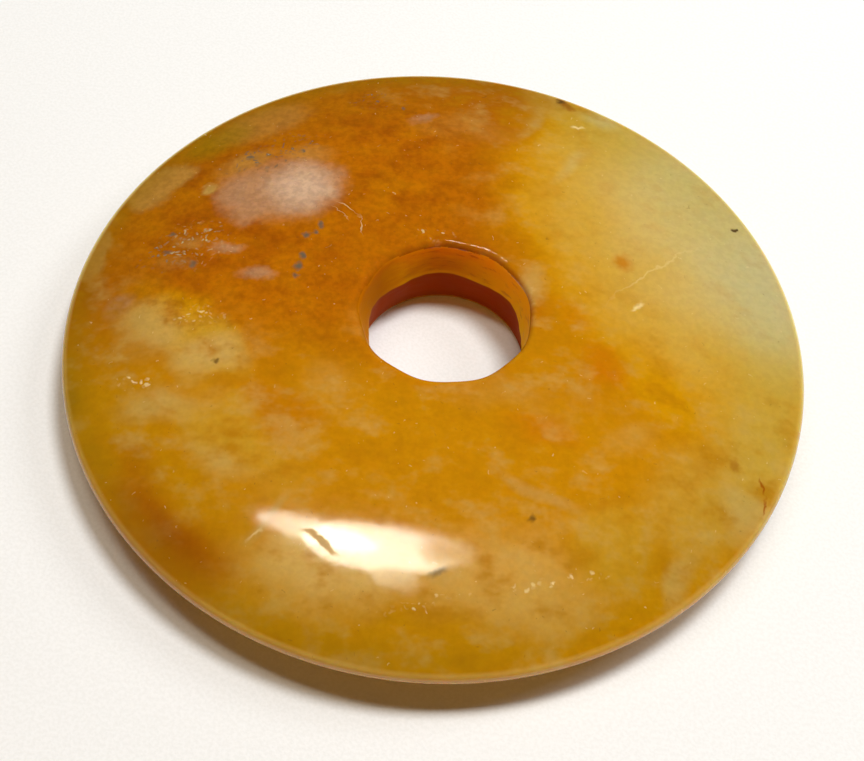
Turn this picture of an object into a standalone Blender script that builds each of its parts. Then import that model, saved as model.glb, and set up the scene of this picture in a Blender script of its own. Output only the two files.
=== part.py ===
# A jade disc: a round, lens-shaped stone plate with a hole drilled through its middle.
# Metres, +Z up. The disc lies flat on z = 0, with its centre on the Z axis.
# The hole is shifted a little to +X, and its upper lip is chipped towards +Y.
from math import atan2, cos, pi, radians, sin

import bmesh
import bpy

# Body
DIAMETER = 0.050          # across the thin rim
THICKNESS = 0.006         # between the two flat lands around the hole
RIM_ROUND = 0.0005        # radius of the rounded rim, so the rim is twice this thick
LAND_WIDTH = 0.0006       # least width of the flat land that both faces keep around the hole

# Hole
HOLE_SHIFT = 0.00046      # from the disc's centre, towards +X
WAIST_RADIUS = 0.00535    # at the narrow waist, where the two drillings met
WAIST_RISE = 0.0002       # of the waist, above the middle of the thickness
FLARE = 0.00031           # how much wider than the waist the wall is where each lip starts
LIP_ROUND = 0.0004        # radius of the worn lip around each mouth

# The waist came out slightly faceted, as hand drilling from both sides leaves it
WAIST_FACETS = 6
FACET_DEPTH = 0.00012     # how far the waist swings in and out of its radius
FACET_TURN = radians(38)  # direction of one of the waist's corners

# A chip along the upper lip
CHIP_DIRECTION = radians(70)
CHIP_HALF_WIDTH = radians(34)
CHIP_DEPTH = 0.0003       # added to the lip's rounding at the chip's middle

# Worked out from the sizes above
MOUTH_RADIUS = WAIST_RADIUS + FLARE
LAND_RADIUS = HOLE_SHIFT + MOUTH_RADIUS + LIP_ROUND + CHIP_DEPTH + LAND_WIDTH

# Facets of the mesh
SEGMENTS = 120            # round the disc
FACE_STEPS = 8            # from the land to the rim, on each face
RIM_STEPS = 6             # round the rim
LIP_STEPS = 3             # round each lip
WALL_STEPS = 3            # from the waist to each mouth

JADE_COLOUR = (0.55, 0.27, 0.05, 1.0)
JADE_ROUGHNESS = 0.2


def clear_scene():
    for thing in list(bpy.data.objects):
        bpy.data.objects.remove(thing, do_unlink=True)


def between(start, end, steps):
    """Even steps from start to end, without the start."""
    return [start + (end - start) * step / steps for step in range(1, steps + 1)]


def face_arc():
    """Radius, height and end angle of the arc that runs from the land to the rim."""
    half = THICKNESS / 2
    reach = DIAMETER / 2 - RIM_ROUND - LAND_RADIUS
    radius = (reach ** 2 + half ** 2 - RIM_ROUND ** 2) / (2 * (half - RIM_ROUND))
    centre_height = half - radius
    return radius, centre_height, atan2(-centre_height, reach)


def outer_profile():
    """Radius and height above the middle plane, from the upper land round to the lower one."""
    radius, centre_height, rim_angle = face_arc()
    upper = [(LAND_RADIUS + radius * cos(turn), centre_height + radius * sin(turn))
             for turn in between(pi / 2, rim_angle, FACE_STEPS)]
    rim_centre = DIAMETER / 2 - RIM_ROUND
    rim = [(rim_centre + RIM_ROUND * cos(turn), RIM_ROUND * sin(turn))
           for turn in between(rim_angle, -rim_angle, RIM_STEPS)[:-1]]
    lower = [(r, -height) for r, height in reversed(upper)]
    land_height = THICKNESS / 2
    return [(LAND_RADIUS, land_height)] + upper + rim + lower + [(LAND_RADIUS, -land_height)]


def chip_depth(direction):
    """Extra rounding of the upper lip, a smooth hump centred on the chip."""
    away = atan2(sin(direction - CHIP_DIRECTION), cos(direction - CHIP_DIRECTION))
    if abs(away) >= CHIP_HALF_WIDTH:
        return 0.0
    return CHIP_DEPTH * cos(pi / 2 * away / CHIP_HALF_WIDTH) ** 2


def waist_radius(direction):
    return WAIST_RADIUS + FACET_DEPTH * cos(WAIST_FACETS * (direction - FACET_TURN))


def lip(rounding, land_height, upward):
    """A quarter round from the hole's wall to a land, as radius and height."""
    centre = MOUTH_RADIUS + rounding
    return [(centre - rounding * cos(turn), land_height - upward * rounding * (1 - sin(turn)))
            for turn in [0.0] + between(0.0, pi / 2, LIP_STEPS)]


def wall(start, end):
    """The points of a straight stretch of the hole's wall, without its two ends."""
    return [(start[0] + (end[0] - start[0]) * share, start[1] + (end[1] - start[1]) * share)
            for share in between(0.0, 1.0, WALL_STEPS)[:-1]]


def hole_profile(direction):
    """Radius and height above the underside, from the lower land up to the upper one."""
    lower_lip = lip(LIP_ROUND, 0.0, -1)[::-1]
    upper_lip = lip(LIP_ROUND + chip_depth(direction), THICKNESS, 1)
    waist = (waist_radius(direction), THICKNESS / 2 + WAIST_RISE)
    return (lower_lip + wall(lower_lip[-1], waist) + [waist]
            + wall(waist, upper_lip[0]) + upper_lip)


def column(direction):
    """The points of one cut through the disc, all the way round its section."""
    across, along = cos(direction), sin(direction)
    outside = [(r * across, r * along, THICKNESS / 2 + height) for r, height in outer_profile()]
    inside = [(HOLE_SHIFT + r * across, r * along, height) for r, height in hole_profile(direction)]
    return outside + inside


def disc_mesh():
    """The closed surface: neighbouring columns joined by quads."""
    shape = bmesh.new()
    columns = []
    for step in range(SEGMENTS):
        direction = 2 * pi * step / SEGMENTS
        columns.append([shape.verts.new(point) for point in column(direction)])
    for here, there in zip(columns, columns[1:] + columns[:1]):
        for low, high in zip(range(len(here)), list(range(1, len(here))) + [0]):
            shape.faces.new((here[low], here[high], there[high], there[low]))
    bmesh.ops.recalc_face_normals(shape, faces=shape.faces)
    mesh = bpy.data.meshes.new("jade_disc")
    shape.to_mesh(mesh)
    shape.free()
    mesh.shade_smooth()
    return mesh


def jade():
    material = bpy.data.materials.new("jade")
    material.use_nodes = True
    surface = material.node_tree.nodes["Principled BSDF"]
    surface.inputs["Base Color"].default_value = JADE_COLOUR
    surface.inputs["Roughness"].default_value = JADE_ROUGHNESS
    surface.inputs["Metallic"].default_value = 0.0
    return material


def build_disc():
    mesh = disc_mesh()
    mesh.materials.append(jade())
    disc = bpy.data.objects.new("jade_disc", mesh)
    bpy.context.collection.objects.link(disc)


clear_scene()
build_disc()
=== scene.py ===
from math import atan2, cos, hypot, pi, radians, sin, tan

import bpy
from mathutils import Matrix, Vector, noise


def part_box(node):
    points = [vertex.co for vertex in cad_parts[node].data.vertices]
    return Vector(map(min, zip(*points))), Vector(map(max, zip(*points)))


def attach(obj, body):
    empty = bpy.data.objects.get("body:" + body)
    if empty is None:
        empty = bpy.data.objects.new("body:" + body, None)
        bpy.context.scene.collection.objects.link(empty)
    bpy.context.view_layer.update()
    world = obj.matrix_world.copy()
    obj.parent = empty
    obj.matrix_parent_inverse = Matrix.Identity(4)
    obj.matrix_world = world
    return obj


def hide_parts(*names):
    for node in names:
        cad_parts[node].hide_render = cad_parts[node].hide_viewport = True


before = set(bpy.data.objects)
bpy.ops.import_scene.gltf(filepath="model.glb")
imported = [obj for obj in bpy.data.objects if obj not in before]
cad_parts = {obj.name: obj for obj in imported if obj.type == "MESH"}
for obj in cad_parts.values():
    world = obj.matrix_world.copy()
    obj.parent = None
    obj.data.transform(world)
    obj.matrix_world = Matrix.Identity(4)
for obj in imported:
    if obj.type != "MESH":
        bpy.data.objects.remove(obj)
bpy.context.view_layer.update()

MM = 0.001
IN_MM = (1 / MM, 1 / MM, 1 / MM)  # turns a place in metres into one in millimetres

# Sizes of the stone, in millimetres: the outline comes from the solid in model.glb, the rest as in
# the solid
DISC_LOW, DISC_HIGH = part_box("jade_disc")
RADIUS = (DISC_HIGH.x - DISC_LOW.x) / 2 / MM
THICKNESS = (DISC_HIGH.z - DISC_LOW.z) / MM
RIM_ROUND = 0.5
LAND_WIDTH = 0.6
HOLE_SHIFT = 0.46
WAIST_RADIUS = 5.35
WAIST_RISE = 0.2
FLARE = 0.31
LIP_ROUND = 0.4
WAIST_FACETS = 6
FACET_DEPTH = 0.12
FACET_TURN = radians(38)
CHIP_DIRECTION = radians(70)
CHIP_DEPTH = 0.3

# Worked out from the sizes above
WAIST_HEIGHT = THICKNESS / 2 + WAIST_RISE
MOUTH_RADIUS = WAIST_RADIUS + FLARE
LAND_RADIUS = HOLE_SHIFT + MOUTH_RADIUS + LIP_ROUND + CHIP_DEPTH + LAND_WIDTH

# Finer forms of the drilled hole
WORN_DIRECTION = radians(175)     # where the upper lip is worn most
WORN_HALF_WIDTH = radians(100)
WORN_ROUND = 0.45                 # added to the lip's rounding there
MOUTH_FACETS = 9                  # the upper mouth came out faceted too
MOUTH_FACET_DEPTH = 0.05
MOUTH_FACET_TURN = radians(219)
WAIST_BULGE = 0.15                # how far the wall stands in on the worn side
WAIST_WEAR = 0.05                 # uneven wear along the waist's ridge
WEAR_SIZE = 0.8                   # of its lumps

# Finer form of the chip
CHIP_HALF_WIDTH = radians(30)
CHIP_FLATNESS = 0.3               # the lower it is, the nearer to its ends the chip stays deep
CHIP_ROUND = CHIP_DEPTH / 2       # added to the lip's rounding where the chip is deepest
CHIP_LEVEL = 0.7                  # usual depth of the chip, as a share of its greatest
CHIP_LUMPS = ((0.9, 0.9), (0.3, 0.5))     # sizes and strengths of its unevenness
BEVEL_WIDTH = 0.28                # the flattened edge between the lip's round and the land
BEVEL_SLOPE = radians(14)         # of the bevel, where the chip is deepest

# Relief that hand polishing left
WAVE_SIZE = 5.0
WAVE_DEPTH = 0.012
RIPPLE_SIZE = 1.7
RIPPLE_DEPTH = 0.003
RIPPLE_PLACE = Vector((9.0, 4.0, 2.0))    # in the noise, away from that of the waves

# Mesh of the stone
SEGMENTS = 640
UPPER_FACE_STEPS = 60
LOWER_FACE_STEPS = 24
RIM_STEPS = 12
LIP_STEPS = 10
BEVEL_STEPS = 2
WALL_STEPS = 6
LAND_STEPS = 3
BORE_REACH = 6.4                  # the drilled wall lies inside this radius of the hole
BODY_SLOT, BORE_SLOT = 0, 1       # of the mesh's materials


def between(start, end, steps):
    """Even steps from start to end, without the start."""
    return [start + (end - start) * step / steps for step in range(1, steps + 1)]


def face_arc():
    """Radius, centre height and end angle of the arc from the land to the rim."""
    half = THICKNESS / 2
    reach = RADIUS - RIM_ROUND - LAND_RADIUS
    radius = (reach ** 2 + half ** 2 - RIM_ROUND ** 2) / (2 * (half - RIM_ROUND))
    return radius, half - radius, atan2(radius - half, reach)


def outer_profile():
    """Radius and height above the middle plane, from the upper land round to the lower one."""
    radius, centre, rim_angle = face_arc()

    def face(steps):
        return [(LAND_RADIUS + radius * cos(turn), centre + radius * sin(turn))
                for turn in [pi / 2] + between(pi / 2, rim_angle, steps)]

    rim_centre = RADIUS - RIM_ROUND
    rim = [(rim_centre + RIM_ROUND * cos(turn), RIM_ROUND * sin(turn))
           for turn in between(rim_angle, -rim_angle, RIM_STEPS)[:-1]]
    lower = [(r, -height) for r, height in reversed(face(LOWER_FACE_STEPS))]
    return face(UPPER_FACE_STEPS) + rim + lower


def uneven(direction, size):
    """Noise between about -1 and 1 along the hole's mouth, with lumps of the given size."""
    return noise.noise(Vector((cos(direction), sin(direction), 0.0)) * MOUTH_RADIUS / size)


def hump(direction, middle, half_width):
    """1 in the middle of a stretch around the hole, down to 0 at its ends."""
    away = atan2(sin(direction - middle), cos(direction - middle))
    return cos(pi / 2 * away / half_width) ** 2 if abs(away) < half_width else 0.0


def waist_radius(direction):
    """Radius of the hole at its waist: faceted, worn, and standing in on the worn side."""
    facets = FACET_DEPTH * cos(WAIST_FACETS * (direction - FACET_TURN))
    bulge = WAIST_BULGE * hump(direction, WORN_DIRECTION, WORN_HALF_WIDTH)
    return WAIST_RADIUS + facets - bulge + WAIST_WEAR * uneven(direction, WEAR_SIZE)


def chip(direction):
    """0 away from the chipped stretch of the upper lip, up to 1 along it, unevenly."""
    depth = hump(direction, CHIP_DIRECTION, CHIP_HALF_WIDTH) ** CHIP_FLATNESS
    lumps = sum(strength * uneven(direction, size) for size, strength in CHIP_LUMPS)
    return depth * min(1.0, max(0.0, CHIP_LEVEL + lumps))


def upper_rounding(direction):
    """Radius of the upper lip's round, larger where it is worn or chipped."""
    worn = hump(direction, WORN_DIRECTION, WORN_HALF_WIDTH)
    return LIP_ROUND + WORN_ROUND * worn + CHIP_ROUND * chip(direction)


def lip(rounding, land_height, upward, bevel_slope=0.0, facet=0.0):
    """From the hole's wall to a land: a round, then a bevel, as radius and height."""
    centre = MOUTH_RADIUS + facet + rounding
    drop = BEVEL_WIDTH * tan(bevel_slope)
    turns = [0.0] + between(0.0, pi / 2 - bevel_slope, LIP_STEPS)
    top = sin(turns[-1])
    arc = [(centre - rounding * cos(turn), -drop - rounding * (top - sin(turn))) for turn in turns]
    start = arc[-1][0]
    bevel = [(start + BEVEL_WIDTH * share, drop * (share - 1))
             for share in between(0.0, 1.0, BEVEL_STEPS)]
    return [(r, land_height + upward * height) for r, height in arc + bevel]


def wall(start, end):
    """The points of a straight stretch of the hole's wall, without its two ends."""
    return [(start[0] + (end[0] - start[0]) * share, start[1] + (end[1] - start[1]) * share)
            for share in between(0.0, 1.0, WALL_STEPS)[:-1]]


def hole_profile(direction):
    """Radius and height above the underside, from the lower land up to the upper one."""
    facet = MOUTH_FACET_DEPTH * cos(MOUTH_FACETS * (direction - MOUTH_FACET_TURN))
    lower_lip = lip(LIP_ROUND, 0.0, -1)[::-1]
    upper_lip = lip(upper_rounding(direction), THICKNESS, 1, BEVEL_SLOPE * chip(direction), facet)
    waist = (waist_radius(direction), WAIST_HEIGHT)
    return (lower_lip + wall(lower_lip[-1], waist) + [waist]
            + wall(waist, upper_lip[0]) + upper_lip)


def land_steps(start, end):
    """Points across a land, between the lip's edge and the land's outer edge."""
    return [start.lerp(end, share) for share in between(0.0, 1.0, LAND_STEPS)[:-1]]


def hollow(point):
    """How far the hand-polished surface lies below its ideal form, in millimetres."""
    waves = 0.5 + 0.5 * noise.noise(point / WAVE_SIZE)
    ripples = 0.5 + 0.5 * noise.noise(point / RIPPLE_SIZE + RIPPLE_PLACE)
    return WAVE_DEPTH * waves + RIPPLE_DEPTH * ripples


def polished(point):
    """The point, lowered onto the hand-polished surface."""
    return point - Vector((0.0, 0.0, hollow(point)))


def column(direction):
    """The points of one cut through the stone, all the way round its section."""
    across, along = cos(direction), sin(direction)
    outside = [Vector((r * across, r * along, THICKNESS / 2 + height))
               for r, height in outer_profile()]
    inside = [Vector((HOLE_SHIFT + r * across, r * along, height))
              for r, height in hole_profile(direction)]
    upper = UPPER_FACE_STEPS + 1
    face = [polished(point) for point in outside[:upper]]
    land = [polished(point) for point in land_steps(inside[-1], outside[0])]
    return face + outside[upper:] + land_steps(outside[-1], inside[0]) + inside + land


def stone_mesh():
    """The closed surface: neighbouring columns joined by quads, the drilled wall marked."""
    columns = [column(2 * pi * step / SEGMENTS) for step in range(SEGMENTS)]
    points = [tuple(point * MM) for ring in columns for point in ring]
    count = len(columns[0])
    faces = []
    for step in range(SEGMENTS):
        here, there = step * count, (step + 1) % SEGMENTS * count
        for k in range(count):
            after = (k + 1) % count
            faces.append((here + k, there + k, there + after, here + after))
    mesh = bpy.data.meshes.new("jade_stone")
    mesh.from_pydata(points, [], faces)
    mesh.shade_smooth()
    for face in mesh.polygons:
        away = hypot(face.center.x - HOLE_SHIFT * MM, face.center.y)
        depth = min(face.center.z, THICKNESS * MM - face.center.z)
        drilled = away < BORE_REACH * MM and depth > LIP_ROUND * MM
        face.material_index = BORE_SLOT if drilled else BODY_SLOT
    return mesh


def linear(red, olive_shade, blue):
    """A screen colour, 0 to 255, as a linear colour with full cover."""
    def channel(value):
        value /= 255
        return value / 12.92 if value <= 0.04045 else ((value + 0.055) / 1.055) ** 2.4
    return (channel(red), channel(olive_shade), channel(blue), 1.0)


class Nodes:
    """The node tree of one material, with short ways to add to it."""

    def __init__(self, name):
        self.material = bpy.data.materials.new(name)
        self.material.use_nodes = True
        self.tree = self.material.node_tree
        self.surface = self.tree.nodes["Principled BSDF"]

    def put(self, socket, value):
        """Sets a socket, or links it when the value is another node's output."""
        if isinstance(value, bpy.types.NodeSocket):
            self.tree.links.new(value, socket)
        else:
            socket.default_value = value

    def add(self, kind, inputs, **settings):
        """Adds a node with these inputs and settings, and returns its outputs."""
        node = self.tree.nodes.new("ShaderNode" + kind)
        for name, value in settings.items():
            setattr(node, name, value)
        for key, value in inputs.items():
            self.put(node.inputs[key], value)
        return node.outputs

    def maths(self, operation, *values):
        return self.add("Math", dict(enumerate(values)), operation=operation)[0]

    def vector(self, operation, *values):
        return self.add("VectorMath", dict(enumerate(values)), operation=operation)

    def steps(self, value, low, high, start=0.0, end=1.0):
        """A smooth change from start to end while value goes from low to high."""
        inputs = {"Value": value, 1: low, 2: high, 3: start, 4: end}
        return self.add("MapRange", inputs, interpolation_type="SMOOTHSTEP")[0]

    def noise(self, place, size, detail=2.0, roughness=0.5):
        """Noise around 0.5 with lumps of about the given size in millimetres."""
        inputs = {"Vector": place, "Scale": 1 / size, "Detail": detail, "Roughness": roughness}
        return self.add("TexNoise", inputs)

    def mix(self, share, under, over, blend="MIX"):
        """One colour over another, as strongly as share says."""
        inputs = {0: share, 6: under, 7: over}
        return self.add("Mix", inputs, data_type="RGBA", blend_type=blend)[2]


# Forms of the spots that colour the stone: the turn of the long side in degrees, and how many
# times longer it is than wide
FORMS = {
    "round": (0, 1), "wide": (0, 2), "rising": (35, 2), "falling": (-35, 2), "tall": (90, 2),
    "leaning": (58, 4), "row": (16, 9), "slit": (-26, 6), "upright": (98, 5), "line_up": (45, 40),
    "line_down": (-40, 16), "line_steep": (-65, 20),
}


class Spots:
    """Spots of the forms above around a place in the stone."""

    def __init__(self, nodes, place):
        self.nodes = nodes
        self.places = {"round": place}

    def axes(self, form):
        turn, slimness = FORMS[form]
        along = Vector((cos(radians(turn)), sin(radians(turn)), 0.0))
        return along, slimness * Vector((-along.y, along.x, 0.0))

    def place(self, form):
        """The place, turned and stretched so that a spot of this form becomes round."""
        if form not in self.places:
            whole = self.places["round"]
            parts = [self.nodes.vector("DOT_PRODUCT", whole, tuple(axis))[1]
                     for axis in self.axes(form)]
            self.places[form] = self.nodes.add("CombineXYZ", dict(enumerate(parts)))[0]
        return self.places[form]

    def spot(self, x, y, reach, form, strength, core):
        """Strength in the middle, fading out from its core, a share of its reach, to its edge."""
        middle = [axis.dot(Vector((x, y, 0.0))) for axis in self.axes(form)]
        away = self.nodes.vector("DISTANCE", self.place(form), (middle[0], middle[1], 0.0))[1]
        return self.nodes.steps(away, core * reach, reach, strength, 0.0)

    def lay(self, colour, coloured):
        """Lays coloured spots over a colour, one after another."""
        for *shape, tint in coloured:
            colour = self.nodes.mix(self.spot(*shape), colour, tint)
        return colour

    def any_of(self, shapes):
        """The strongest of several spots."""
        total = self.spot(*shapes[0])
        for shape in shapes[1:]:
            total = self.nodes.maths("MAXIMUM", total, self.spot(*shape))
        return total


# Colours of the stone, as they look in the studio's light: the body, patches, marks and rim
AMBER = linear(176, 97, 0)
RUST = linear(152, 74, 0)
EMBER = linear(188, 113, 0)
BRASS = linear(184, 120, 4)
FLAME = linear(197, 114, 0)
HONEY = linear(197, 132, 2)
GOLD = linear(204, 143, 0)
STRAW = linear(202, 157, 56)
CREAM = linear(202, 172, 100)
PALE = linear(200, 180, 132)
HAZE = linear(198, 149, 36)
MIST = linear(200, 158, 78)
BEIGE = linear(194, 146, 66)
TAN = linear(186, 125, 46)
ROSE = linear(180, 130, 88)
SHELL = linear(204, 166, 132)
# a painted haze of reflected light, below the highlight
PAINTED_GLARE = linear(218, 172, 90)
OLIVE = linear(148, 108, 4)
SLATE = linear(104, 90, 70)
SOOT = linear(84, 60, 28)
CHALK = linear(240, 212, 150)
# a painted reflection along the rim's very edge
RIM_PAINTED_SHINE = linear(222, 200, 118)

# Painted light on the drilled wall: painted shade below the waist, a painted glow above it, and
# painted light where most light would reach it
WALL_PAINTED_SHADE = linear(150, 50, 0)
WALL_PAINTED_GLOW = linear(206, 128, 0)
WALL_PAINTED_LIGHT = linear(242, 186, 8)

# Clouds of colour in the stone: x, y and reach in millimetres, form, strength, core, colour
CLOUDS = [
    (24.0, 12.0, 23.0, "round", 1.0, 0.76, GOLD),
    (24.0, 12.5, 19.8, "round", 1.0, 0.72, STRAW),
    (24.0, 12.0, 15.5, "round", 1.0, 0.50, CREAM),
    (23.0, 7.0, 7.5, "round", 0.5, 0.2, PALE),
    (22.0, -7.5, 6.0, "round", 0.8, 0.3, STRAW),
    (17.0, -12.0, 5.0, "round", 0.5, 0.2, STRAW),
    (5.3, 19.5, 3.2, "leaning", 0.6, 0.1, BEIGE),
    (8.6, 15.0, 3.6, "leaning", 0.5, 0.1, CREAM),
    (7.2, 22.8, 3.4, "round", 0.5, 0.2, BEIGE),
    (-26.0, 0.0, 7.0, "tall", 0.7, 0.1, RUST),
    (11.0, 21.0, 2.4, "falling", 0.7, 0.3, CREAM),
    (-7.6, 17.8, 3.2, "wide", 0.35, 0.2, RUST),
    (0.5, 17.5, 4.8, "wide", 0.4, 0.2, TAN),
    (-5.0, 10.3, 3.0, "round", 0.5, 0.2, EMBER),
    (-12.5, 4.6, 2.8, "wide", 0.5, 0.2, RUST),
    (-17.0, 7.0, 4.0, "rising", 0.5, 0.2, RUST),
    (-17.6, 2.6, 3.0, "round", 0.5, 0.2, RUST),
    (-8.0, 3.4, 2.8, "tall", 0.4, 0.1, RUST),
    (-17.6, 12.2, 3.2, "rising", 0.4, 0.2, RUST),
    (-18.2, -13.0, 4.0, "falling", 0.5, 0.2, AMBER),
    (7.0, -3.0, 4.6, "round", 0.75, 0.2, HONEY),
    (-15.8, -17.8, 7.6, "falling", 0.95, 0.3, AMBER),
    (-14.4, -18.0, 4.4, "falling", 0.6, 0.1, RUST),
    (11.1, -3.3, 3.4, "falling", 0.85, 0.1, FLAME),
    (8.8, 0.6, 2.8, "falling", 0.4, 0.1, FLAME),
    (7.2, -8.8, 3.4, "wide", 0.7, 0.1, FLAME),
    (15.2, -5.2, 3.6, "falling", 0.9, 0.2, GOLD),
    (-9.4, -8.6, 4.4, "falling", 0.7, 0.2, EMBER),
    (-17.0, -1.6, 2.2, "round", 0.9, 0.2, GOLD),
    (-19.8, -0.2, 3.0, "round", 0.5, 0.2, HONEY),
    # painted haze of the highlight, and of a second reflection to its right
    (-5.5, -18.9, 7.0, "wide", 0.85, 0.2, PAINTED_GLARE),
    (5.0, -18.8, 8.0, "wide", 0.5, 0.3, PAINTED_GLARE),
    (12.0, -15.5, 4.0, "round", 0.6, 0.2, HAZE),
    (6.9, -13.0, 4.4, "slit", 0.7, 0.2, BEIGE),
    (4.6, -6.2, 4.2, "wide", 0.25, 0.2, BEIGE),
    (12.8, -8.3, 2.8, "rising", 0.3, 0.1, MIST),
    (19.9, -12.4, 2.6, "round", 0.8, 0.2, MIST),
    (16.2, -17.0, 3.6, "leaning", 0.75, 0.1, MIST),
    (-6.2, -6.6, 2.8, "round", 0.2, 0.1, MIST),
    (-15.4, -4.4, 5.4, "falling", 0.95, 0.3, HAZE),
    (-14.9, -5.2, 3.8, "wide", 1.0, 0.2, MIST),
    (-18.6, -3.0, 3.0, "round", 0.8, 0.2, MIST),
    (-16.6, -8.8, 4.4, "wide", 0.8, 0.2, MIST),
    (-11.6, -11.2, 6.0, "falling", 0.9, 0.2, HAZE),
    (-12.2, -12.6, 3.4, "falling", 0.7, 0.1, MIST),
    (-9.6, -16.0, 3.0, "leaning", 0.8, 0.1, MIST),
    (-21.0, -0.8, 1.8, "round", 0.7, 0.2, ROSE),
    (-23.5, -8.0, 4.4, "tall", 0.6, 0.2, OLIVE),
]

# Sharper patches with ragged edges, in the same order of values
PATCHES = [
    (-13.3, 9.4, 3.9, "round", 0.9, 0.35, ROSE),
    (-10.7, 10.1, 4.0, "round", 0.95, 0.4, ROSE),
    (-15.3, 9.0, 1.7, "round", 0.6, 0.2, ROSE),
    (-14.1, 7.2, 1.6, "round", 0.6, 0.1, ROSE),
    (-10.5, 10.1, 3.4, "round", 0.95, 0.1, SHELL),
    (-9.7, 9.6, 2.4, "wide", 0.5, 0.1, SHELL),
    (-14.8, 12.6, 3.0, "rising", 0.8, 0.2, TAN),
    (-10.6, 13.6, 2.8, "wide", 0.7, 0.2, TAN),
    (-17.0, 9.7, 0.8, "round", 0.9, 0.3, BEIGE),
    (-20.7, 10.6, 3.4, "rising", 1.0, 0.6, TAN),
    (-21.4, 9.6, 2.2, "round", 1.0, 0.5, TAN),
    (-24.2, 3.9, 3.0, "tall", 1.0, 0.6, TAN),
    (-14.3, 17.3, 4.8, "rising", 0.6, 0.4, TAN),
    (-17.5, 15.0, 4.0, "rising", 0.6, 0.3, OLIVE),
    (-14.8, 4.0, 1.6, "wide", 0.8, 0.2, ROSE),
    (-12.4, 1.7, 1.8, "wide", 0.8, 0.2, ROSE),
    (-18.2, 2.5, 2.0, "wide", 0.35, 0.1, TAN),
    (-17.4, 4.6, 1.8, "wide", 0.35, 0.1, BEIGE),
    (-2.5, 18.5, 1.6, "rising", 0.6, 0.1, ROSE),
    (8.2, 22.6, 1.2, "falling", 0.7, 0.2, RUST),
    (12.3, 5.8, 1.1, "round", 0.8, 0.1, EMBER),
    (6.1, 2.8, 2.6, "tall", 0.45, 0.1, CREAM),
    (19.5, -9.0, 0.9, "tall", 0.4, 0.2, RUST),
]

# Single dark grains, in the same order of values without the colour
GRAINS = [
    (-8.8, 6.5, 0.36, "round", 0.9, 0.1),
    (-8.9, 5.8, 0.34, "round", 0.9, 0.1),
    (-9.45, 5.35, 0.50, "round", 0.95, 0.1),
    (-9.5, 3.5, 0.46, "round", 0.95, 0.1),
    (-9.7, 2.7, 0.46, "round", 0.95, 0.1),
    (-9.8, 1.8, 0.40, "round", 0.9, 0.1),
    (-19.0, 5.1, 0.34, "round", 0.8, 0.1),
    (-18.8, 3.6, 0.42, "round", 0.8, 0.1),
    (-17.1, 2.4, 0.50, "round", 0.8, 0.1),
    (-14.7, 13.0, 0.40, "round", 0.9, 0.1),
    (-11.0, 13.9, 0.30, "round", 0.9, 0.1),
    (-4.0, 19.7, 0.34, "round", 0.8, 0.1),
]

# Places where many small grey or pale specks show
SLATE_SPECKS = [
    (-18.0, 3.9, 4.0, "rising", 1.0, 0.5),
    (-13.2, 13.4, 4.6, "rising", 1.0, 0.5),
    (-6.0, 20.4, 2.8, "wide", 0.8, 0.4),
]
CHALK_SPECKS_AND_GLINTS = [
    (-15.8, -2.0, 2.4, "wide", 0.9, 0.3),
    (-17.2, 4.4, 2.8, "round", 0.6, 0.3),
    (-19.0, -7.2, 1.4, "wide", 1.0, 0.5),
    (-1.0, 6.4, 1.6, "wide", 0.9, 0.3),
    # these two rows are painted glints along a faint reflection
    (8.4, -18.5, 4.0, "row", 0.9, 0.4),
    (1.0, -20.6, 3.6, "row", 0.8, 0.4),
    (5.5, 1.8, 2.4, "tall", 0.7, 0.3),
]

# Dark marks, pale scratches and the parts of a short crack, in the same order of values
MARKS = [
    (20.6, 11.3, 0.26, "round", 0.95, 0.4),
    (7.8, 22.9, 0.6, "wide", 0.8, 0.2),
    (6.65, -14.8, 0.40, "round", 0.7, 0.2),
    (1.4, -18.7, 0.8, "rising", 0.6, 0.1),
    (-13.9, -5.4, 0.30, "round", 0.7, 0.2),
    (-5.7, -17.4, 1.9, "slit", 0.25, 0.1),
]
SCRATCHES = [
    (-7.2, 8.2, 1.2, "line_down", 0.45, 0.2),
    (-7.6, 7.7, 0.9, "line_down", 0.3, 0.2),
    (-6.0, 6.7, 1.2, "line_steep", 0.45, 0.2),
    (13.2, 1.9, 0.7, "rising", 0.7, 0.1),
    (9.1, 19.7, 0.6, "wide", 0.8, 0.1),
    (-9.7, -17.3, 0.9, "leaning", 0.5, 0.1),
    (14.5, 5.4, 6.0, "line_up", 0.25, 0.1),
]
CRACK = [
    (21.25, -10.2, 0.9, "upright", 0.9, 0.2),
    (21.5, -11.5, 0.8, "upright", 0.8, 0.2),
]

# Places where the stone's mottling is weak, and the one where its grain is coarse
CALM = [
    (24.0, 12.0, 21.0, "round", 0.75, 0.6),
    (-15.8, -17.8, 7.6, "falling", 0.75, 0.5),
    (9.5, -7.0, 6.0, "wide", 0.6, 0.3),
]
GRAINY = (-11.0, 10.0, 17.5, "round", 1.0, 0.6)

# Places where the polish is dull
DULL = [
    (-5.7, -17.4, 1.9, "slit", 1.0, 0.4),
    (1.8, -17.4, 2.6, "wide", 0.55, 0.1),
    (-1.0, -19.6, 2.0, "wide", 0.45, 0.1),
]

# Noise in the stone: size in millimetres, detail, roughness of the detail
MOTTLE = (2.4, 3.0, 0.62)
FINE = (0.5, 2.0, 0.65)
POLISH = (0.7, 0.0, 0.5)
RINGS = (0.8, 3.0, 0.6)
MOTTLE_STRETCH = (0.9, 1.2, 1.0)
RINGS_STRETCH = (0.6, 0.6, 2.4)           # so that the drill's rings lie level
SPECKS_PER_MM = 2.6

# How noise moves the spots about: size and reach in millimetres, detail
DRIFT = (3.5, 2.6, 0.0)
WANDER = (1.7, 0.9, 0.0)
FRAY = (0.45, 0.55, 1.0)

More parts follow.
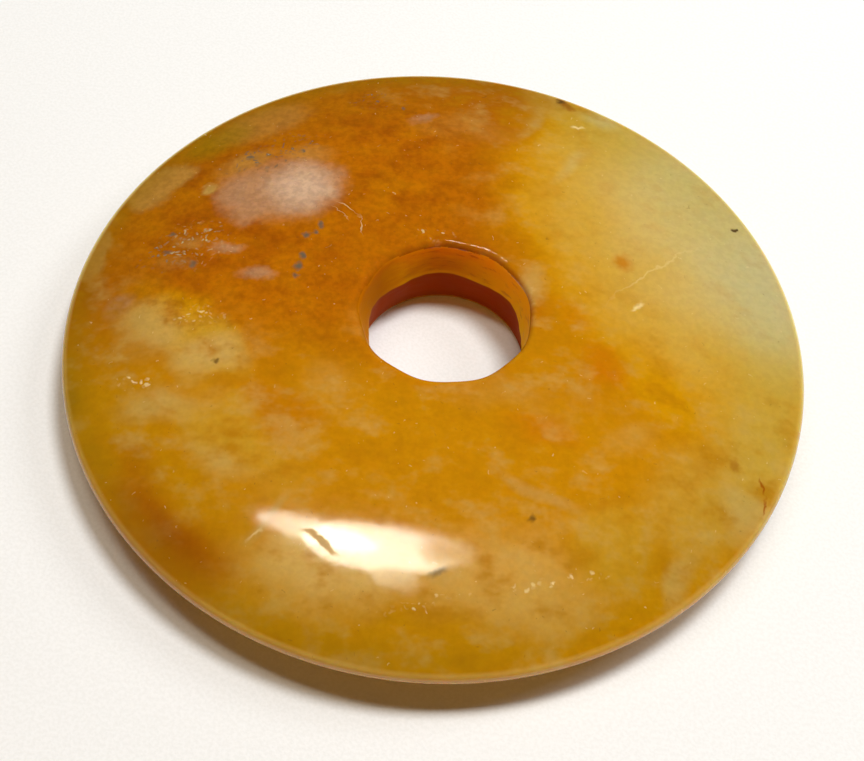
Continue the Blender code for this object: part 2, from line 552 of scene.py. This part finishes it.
# Smooth changes: from and to, and the values before and after
HONEY_BELOW = (1.0, -9.0, 0.0, 1.0)       # across the stone, along y
PALE_MOTTLE = (0.47, 0.76, 0.0, 0.55)
DEEP_MOTTLE = (0.53, 0.25, 0.0, 0.8)
GRAIN_SHADE = (0.3, 0.7, 0.85, 1.13)
GLOSS = (0.3, 0.7, 0.055, 0.085)
SPECK_EDGE = (0.15, 0.45, 1.0, 0.0)       # by how far off a speck's middle is
DUST_EDGE = (0.04, 0.2, 1.0, 0.0)
# tiny pale specks all over: pale crystals and painted glints
CHALK_DUST_AND_GLINTS = (0.84, 0.92, 0.0, 0.35)      # by each speck's chance
SOOT_DUST = (0.16, 0.08, 0.0, 0.35)
SHALLOW_GLOW = (0.0, 1.0, 0.7, 0.45)      # weight of the light inside, by how coarse the grain is

# Painted shade and a painted reflection towards the rim, by the distance from the middle and by x
# and y
RIM_SHADE_REACH = (RADIUS - 9.5, RADIUS - 1.0, 0.0, 1.0)
OLIVE_RIM_SHADE = (RADIUS - 2.6, RADIUS - 0.6, 0.0, 0.4)
GREEN_LEFT = (14.0, -4.0, 0.0, 1.0)
RIM_SHINE_REACH = (RADIUS - 0.5, RADIUS - 0.15, 0.0, 1.0)
RIM_SHINE_FAR = (-8.0, 8.0, 0.25, 0.85)

# Where the painted light and shade lie on the drilled wall, by x, by height and by its rings
SUNNY_RIGHT = (0.0, 5.0, 0.0, 1.0)
AMBER_LEFT = (-2.5, -4.5, 0.0, 0.9)
SUNNY_TOP = (3.8, 5.2, 0.0, 0.3)
SUNNY_RIDGE = (WAIST_HEIGHT + 0.4, WAIST_HEIGHT + 0.1, 0.0, 0.35)
LIT_ABOVE = (WAIST_HEIGHT - 0.15, WAIST_HEIGHT + 0.05, 0.0, 1.0)
PALE_RINGS = (0.45, 0.75, 0.0, 0.3)
DEEP_RINGS = (0.45, 0.30, 0.0, 0.6)
ROUGH_RINGS = (0.3, 0.7, 0.6, 0.8)

LIGHT_GAIN = (1.01, 0.965, 0.91, 1.0)     # how bright a white surface shows in this light
# painted shade at the rim, together with the stone's olive tint there
RIM_SHADE_AND_TINT = (0.86, 0.95, 1.0, 1.0)         # what is left of each colour at the rim
GRAIN_SHARE, COARSE_SHARE = 0.3, 0.55     # of the fine grain: everywhere, and added where coarse
DULLNESS = 0.3                            # roughness added in the dull places
SLANT = 0.8                               # how far the colours lean sideways through the thickness
SCATTER = (1.0, 0.42, 0.12)               # how far red, green and blue light spread inside
SCATTER_REACH, WALL_REACH = 0.002, 0.005  # how far it goes, in metres, in the body and the wall
REFRACTION = 1.6
POLISH_BUMP, RING_BUMP = 0.0000012, 0.00002


def stone_places(nodes):
    """The place in the stone in millimetres, and the same seen from above, leaning."""
    place = nodes.vector("MULTIPLY", nodes.add("TexCoord", {})["Object"], IN_MM)[0]
    x, y, z = nodes.add("SeparateXYZ", {0: place})
    depth = nodes.maths("MAXIMUM", nodes.maths("SUBTRACT", THICKNESS / 2, z), 0.0)
    leaning = nodes.maths("MULTIPLY_ADD", depth, SLANT, x)
    return place, nodes.add("CombineXYZ", {0: leaning, 1: y, 2: 0.0})[0]


def warp(nodes, place, flat, size, amount, detail):
    """Moves the flat place about by noise, so that edges run unevenly."""
    shift = nodes.vector("SUBTRACT", nodes.noise(place, size, detail)[1], (0.5, 0.5, 0.5))[0]
    return nodes.vector("MULTIPLY_ADD", shift, (amount, amount, 0.0), flat)[0]


def body_colour(nodes, place, soft, grainy):
    """The clouds and mottling of the stone."""
    y = nodes.add("SeparateXYZ", {0: soft.places["round"]})[1]
    colour = nodes.mix(nodes.steps(y, *HONEY_BELOW), AMBER, HONEY)
    colour = soft.lay(colour, CLOUDS)
    mottle = nodes.noise(nodes.vector("MULTIPLY", place, MOTTLE_STRETCH)[0], *MOTTLE)[0]
    calm = nodes.maths("SUBTRACT", 1.0, soft.any_of(CALM))
    pale = nodes.maths("MULTIPLY", nodes.steps(mottle, *PALE_MOTTLE), calm)
    colour = nodes.mix(pale, colour, nodes.mix(grainy, MIST, EMBER))
    deep = nodes.maths("MULTIPLY", nodes.steps(mottle, *DEEP_MOTTLE), calm)
    return nodes.mix(deep, colour, nodes.mix(grainy, BRASS, RUST))


def grained(nodes, colour, fine, grainy):
    """Lighter and darker by the fine grain, most where it is coarse."""
    grain = nodes.steps(fine, *GRAIN_SHADE)
    shade = nodes.add("CombineColor", {0: grain, 1: grain, 2: grain})[0]
    share = nodes.maths("MULTIPLY_ADD", grainy, COARSE_SHARE, GRAIN_SHARE)
    return nodes.mix(share, colour, shade, "MULTIPLY")


def specked(nodes, colour, ragged):
    """Small grey and pale specks, dense in some places and sparse all over; some of the pale ones
    are painted glints.
    """
    cells = nodes.add("TexVoronoi", {"Vector": ragged.places["round"], "Scale": SPECKS_PER_MM})
    chance = nodes.add("SeparateColor", {0: cells["Color"]})[0]
    dots = nodes.maths("MULTIPLY", nodes.steps(cells["Distance"], *SPECK_EDGE), chance)
    for spots, tint in ((SLATE_SPECKS, SLATE), (CHALK_SPECKS_AND_GLINTS, CHALK)):
        shown = nodes.maths("MULTIPLY", ragged.any_of(spots), dots)
        colour = nodes.mix(shown, colour, tint)
    tiny = nodes.steps(cells["Distance"], *DUST_EDGE)
    for dust, tint in ((CHALK_DUST_AND_GLINTS, CHALK), (SOOT_DUST, SOOT)):
        shown = nodes.maths("MULTIPLY", tiny, nodes.steps(chance, *dust))
        colour = nodes.mix(shown, colour, tint)
    return nodes.mix(ragged.any_of(GRAINS), colour, SLATE)


def marked(nodes, colour, ragged):
    """Scratches, dark marks and the short crack near the right rim."""
    colour = nodes.mix(ragged.any_of(SCRATCHES), colour, CHALK)
    colour = nodes.mix(ragged.any_of(MARKS), colour, SOOT)
    return nodes.mix(ragged.any_of(CRACK), colour, RUST)


def rim_light_and_shade(nodes, colour, flat):
    """Painted shade towards the rim, less red and partly the stone's olive tint, greener on the
    left, and a painted reflection along the very edge.
    """
    x, y, _ = nodes.add("SeparateXYZ", {0: flat})
    reach = nodes.vector("LENGTH", flat)[1]
    colour = nodes.mix(nodes.steps(reach, *RIM_SHADE_REACH), colour, RIM_SHADE_AND_TINT, "MULTIPLY")
    left = nodes.steps(x, *GREEN_LEFT)
    olive_shade = nodes.maths("MULTIPLY", nodes.steps(reach, *OLIVE_RIM_SHADE), left)
    colour = nodes.mix(olive_shade, colour, OLIVE)
    shine_far = nodes.steps(y, *RIM_SHINE_FAR)
    rim_shine = nodes.maths("MULTIPLY", nodes.steps(reach, *RIM_SHINE_REACH), shine_far)
    return nodes.mix(rim_shine, colour, RIM_PAINTED_SHINE)


def in_this_light(nodes, colour):
    """Turns a colour as it looks into the colour of the material."""
    return nodes.mix(1.0, colour, LIGHT_GAIN, "DIVIDE")


def set_surface(nodes, values):
    """Sets or links the named inputs of the material's surface."""
    for name, value in values.items():
        nodes.put(nodes.surface.inputs[name], value)


def bumps(nodes, height, distance):
    """The direction of a surface that rises with height by up to a distance in metres."""
    return nodes.add("Bump", {"Strength": 1.0, "Distance": distance, "Height": height})[0]


def roughness(nodes, fine, ragged):
    """Glossy, with a few duller places."""
    glossy = nodes.steps(fine, *GLOSS)
    return nodes.maths("MULTIPLY_ADD", ragged.any_of(DULL), DULLNESS, glossy)


def jade_material():
    """The polished stone."""
    nodes = Nodes("jade")
    place, flat = stone_places(nodes)
    soft = Spots(nodes, warp(nodes, place, flat, *DRIFT))
    ragged = Spots(nodes, warp(nodes, place, warp(nodes, place, flat, *WANDER), *FRAY))
    grainy = soft.spot(*GRAINY)
    fine = nodes.noise(place, *FINE)[0]
    colour = ragged.lay(body_colour(nodes, place, soft, grainy), PATCHES)
    colour = rim_light_and_shade(nodes, grained(nodes, colour, fine, grainy), flat)
    colour = marked(nodes, specked(nodes, colour, ragged), ragged)
    set_surface(nodes, {
        "Base Color": in_this_light(nodes, colour), "Roughness": roughness(nodes, fine, ragged),
        "IOR": REFRACTION, "Subsurface Weight": nodes.steps(grainy, *SHALLOW_GLOW),
        "Subsurface Radius": SCATTER, "Subsurface Scale": SCATTER_REACH,
        "Normal": bumps(nodes, nodes.noise(place, *POLISH)[0], POLISH_BUMP)})
    return nodes.material


def wall_painted_light(nodes, place, rings):
    """Painted light on the drilled wall: a painted glow above the waist, painted light most on the
    right and along the ridge, and painted shade below it.
    """
    x, _, z = nodes.add("SeparateXYZ", {0: place})
    layers = ((x, SUNNY_RIGHT, WALL_PAINTED_LIGHT), (z, SUNNY_TOP, WALL_PAINTED_LIGHT), (rings, PALE_RINGS, WALL_PAINTED_LIGHT),
              (rings, DEEP_RINGS, AMBER), (z, SUNNY_RIDGE, WALL_PAINTED_LIGHT), (x, AMBER_LEFT, AMBER))
    lit = WALL_PAINTED_GLOW
    for value, change, tint in layers:
        lit = nodes.mix(nodes.steps(value, *change), lit, tint)
    return nodes.mix(nodes.steps(z, *LIT_ABOVE), WALL_PAINTED_SHADE, lit)


def bore_material():
    """The drilled wall: rough, with faint rings, and light and shade painted into its colour."""
    nodes = Nodes("jade_bore")
    place, _ = stone_places(nodes)
    rings = nodes.noise(nodes.vector("MULTIPLY", place, RINGS_STRETCH)[0], *RINGS)[0]
    set_surface(nodes, {
        "Base Color": in_this_light(nodes, wall_painted_light(nodes, place, rings)),
        "Roughness": nodes.steps(rings, *ROUGH_RINGS), "IOR": REFRACTION,
        "Specular IOR Level": 0.05, "Subsurface Weight": 1.0, "Subsurface Radius": SCATTER,
        "Subsurface Scale": WALL_REACH, "Normal": bumps(nodes, rings, RING_BUMP)})
    return nodes.material


def make_stone():
    """The dressed stone, in place of the plain solid."""
    mesh = stone_mesh()
    for material in (jade_material(), bore_material()):
        mesh.materials.append(material)
    stone = bpy.data.objects.new("jade_stone", mesh)
    bpy.context.scene.collection.objects.link(stone)
    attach(stone, "root")
    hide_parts("jade_disc")


# Camera, fitted to the outlines of the disc and its hole in the photograph, in millimetres
CAMERA_ELEVATION = radians(55.3)
CAMERA_DISTANCE = 93.0
CAMERA_AIM = Vector((-0.05, -3.72, 3.0))
CAMERA_ROLL = radians(5.37)
LENS = 58.25
SENSOR_WIDTH = 36.0


def make_camera():
    """Looks down at the disc from the front, rolled a little."""
    data = bpy.data.cameras.new("camera")
    data.lens = LENS
    data.sensor_width = SENSOR_WIDTH
    data.clip_start = MM
    data.clip_end = 10.0
    camera = bpy.data.objects.new("camera", data)
    bpy.context.scene.collection.objects.link(camera)
    back = Vector((0.0, -cos(CAMERA_ELEVATION), sin(CAMERA_ELEVATION)))
    right = Vector((1.0, 0.0, 0.0))
    up = back.cross(right)
    turned_right = cos(CAMERA_ROLL) * right + sin(CAMERA_ROLL) * up
    turned_up = back.cross(turned_right)
    frame_axes = Matrix((turned_right, turned_up, back)).transposed()
    place = (CAMERA_AIM + back * CAMERA_DISTANCE) * MM
    camera.matrix_world = Matrix.Translation(place) @ frame_axes.to_4x4()
    bpy.context.scene.camera = camera


# Lights of the studio
WARM = (1.0, 0.94, 0.78)
NEUTRAL = (0.95, 0.98, 1.0)
ORANGE = (1.0, 0.45, 0.05)
BRIGHTNESS = 1.21                             # of a white surface that lies flat
SHINE_PLACE = Vector((-3.0, -17.5, 5.0))      # the middle of the highlight on the stone
MIDDLE = Vector((0.0, 0.0, 0.0))
WORLD_STRENGTH = 0.03

# Each light: the point it faces, how far left and back it stands from the vertical in degrees,
# its distance in metres, its half width and half depth in degrees seen from that point, its
# turn in degrees, its share of all the light, its colour, and whether it shows in gloss
SOFTBOXES = {
    "key": (SHINE_PLACE, 4.0, 8.0, 0.8, 8.5, 3.8, 0.0, 0.125, WARM, True),
    "key_tip": (SHINE_PLACE, 11.0, 9.3, 0.8, 7.0, 1.8, -8.0, 0.035, WARM, True),
    "panel": (MIDDLE, -14.0, 12.0, 0.5, 9.0, 7.0, 0.0, 0.57, NEUTRAL, False),
    "side": (MIDDLE, 20.0, 12.0, 0.5, 7.0, 7.0, 0.0, 0.05, NEUTRAL, False),
    "fill": (MIDDLE, -44.0, 24.0, 0.35, 12.0, 12.0, 0.0, 0.15, NEUTRAL, False),
    "bounce": (MIDDLE, 10.0, -45.0, 0.4, 20.0, 20.0, 0.0, 0.08, ORANGE, False),
}


def softbox(name, aim, left, back, distance, half_width, half_depth, turn, share, colour, gloss):
    """An elliptical light that faces a point of the disc."""
    direction = Vector((-tan(radians(left)), tan(radians(back)), 1.0)).normalized()
    across = Vector((0.0, 1.0, 0.0)).cross(direction).normalized()
    axes = Matrix((across, direction.cross(across), direction)).transposed()
    wide, deep = tan(radians(half_width)), tan(radians(half_depth))
    data = bpy.data.lights.new(name, "AREA")
    data.shape = "ELLIPSE"
    data.size = 2 * distance * wide
    data.size_y = 2 * distance * deep
    glow = share * BRIGHTNESS / (wide * deep * direction.z)
    data.energy = glow * pi * (pi / 4 * data.size * data.size_y)
    data.color = colour
    light = bpy.data.objects.new(name, data)
    facing = (axes @ Matrix.Rotation(radians(turn), 3, "Z")).to_4x4()
    light.matrix_world = Matrix.Translation(aim * MM + direction * distance) @ facing
    light.visible_camera = False
    light.visible_glossy = gloss
    bpy.context.scene.collection.objects.link(light)


def make_lights():
    """The soft lights, and a weak even glow from all around."""
    for name, values in SOFTBOXES.items():
        softbox(name, *values)
    world = bpy.data.worlds.new("studio")
    world.use_nodes = True
    background = world.node_tree.nodes["Background"]
    background.inputs["Color"].default_value = (1.0, 1.0, 1.0, 1.0)
    background.inputs["Strength"].default_value = WORLD_STRENGTH
    bpy.context.scene.world = world


# The paper that the disc lies on: colours, the grain's size in millimetres and detail, what part
# of the grain's range turns dark to pale, and lengths in metres
PAPER_DARK = (0.83, 0.825, 0.81, 1.0)
PAPER_PALE = (0.87, 0.865, 0.855, 1.0)
PAPER_GRAIN = (0.22, 1.0)
PAPER_RANGE = (0.3, 0.7)
PAPER_BUMP = 0.000012
FLOOR_REACH = 1.5
FLOOR_HEIGHT = -0.00002


def paper_material():
    """Pale paper with a fine, slightly warm grain."""
    nodes = Nodes("paper")
    place = nodes.vector("MULTIPLY", nodes.add("TexCoord", {})["Object"], IN_MM)[0]
    grain = nodes.noise(place, *PAPER_GRAIN)[0]
    set_surface(nodes, {
        "Base Color": nodes.mix(nodes.steps(grain, *PAPER_RANGE), PAPER_DARK, PAPER_PALE),
        "Roughness": 0.9, "Specular IOR Level": 0.0, "Normal": bumps(nodes, grain, PAPER_BUMP)})
    return nodes.material


def make_floor():
    """A flat sheet of paper just under the disc."""
    mesh = bpy.data.meshes.new("floor")
    corners = [(x * FLOOR_REACH, y * FLOOR_REACH, FLOOR_HEIGHT)
               for x, y in ((-1, -1), (1, -1), (1, 1), (-1, 1))]
    mesh.from_pydata(corners, [], [(0, 1, 2, 3)])
    mesh.materials.append(paper_material())
    floor = bpy.data.objects.new("floor", mesh)
    bpy.context.scene.collection.objects.link(floor)


make_camera()
make_stone()
make_floor()
make_lights()
bpy.context.scene.view_settings.view_transform = "Standard"
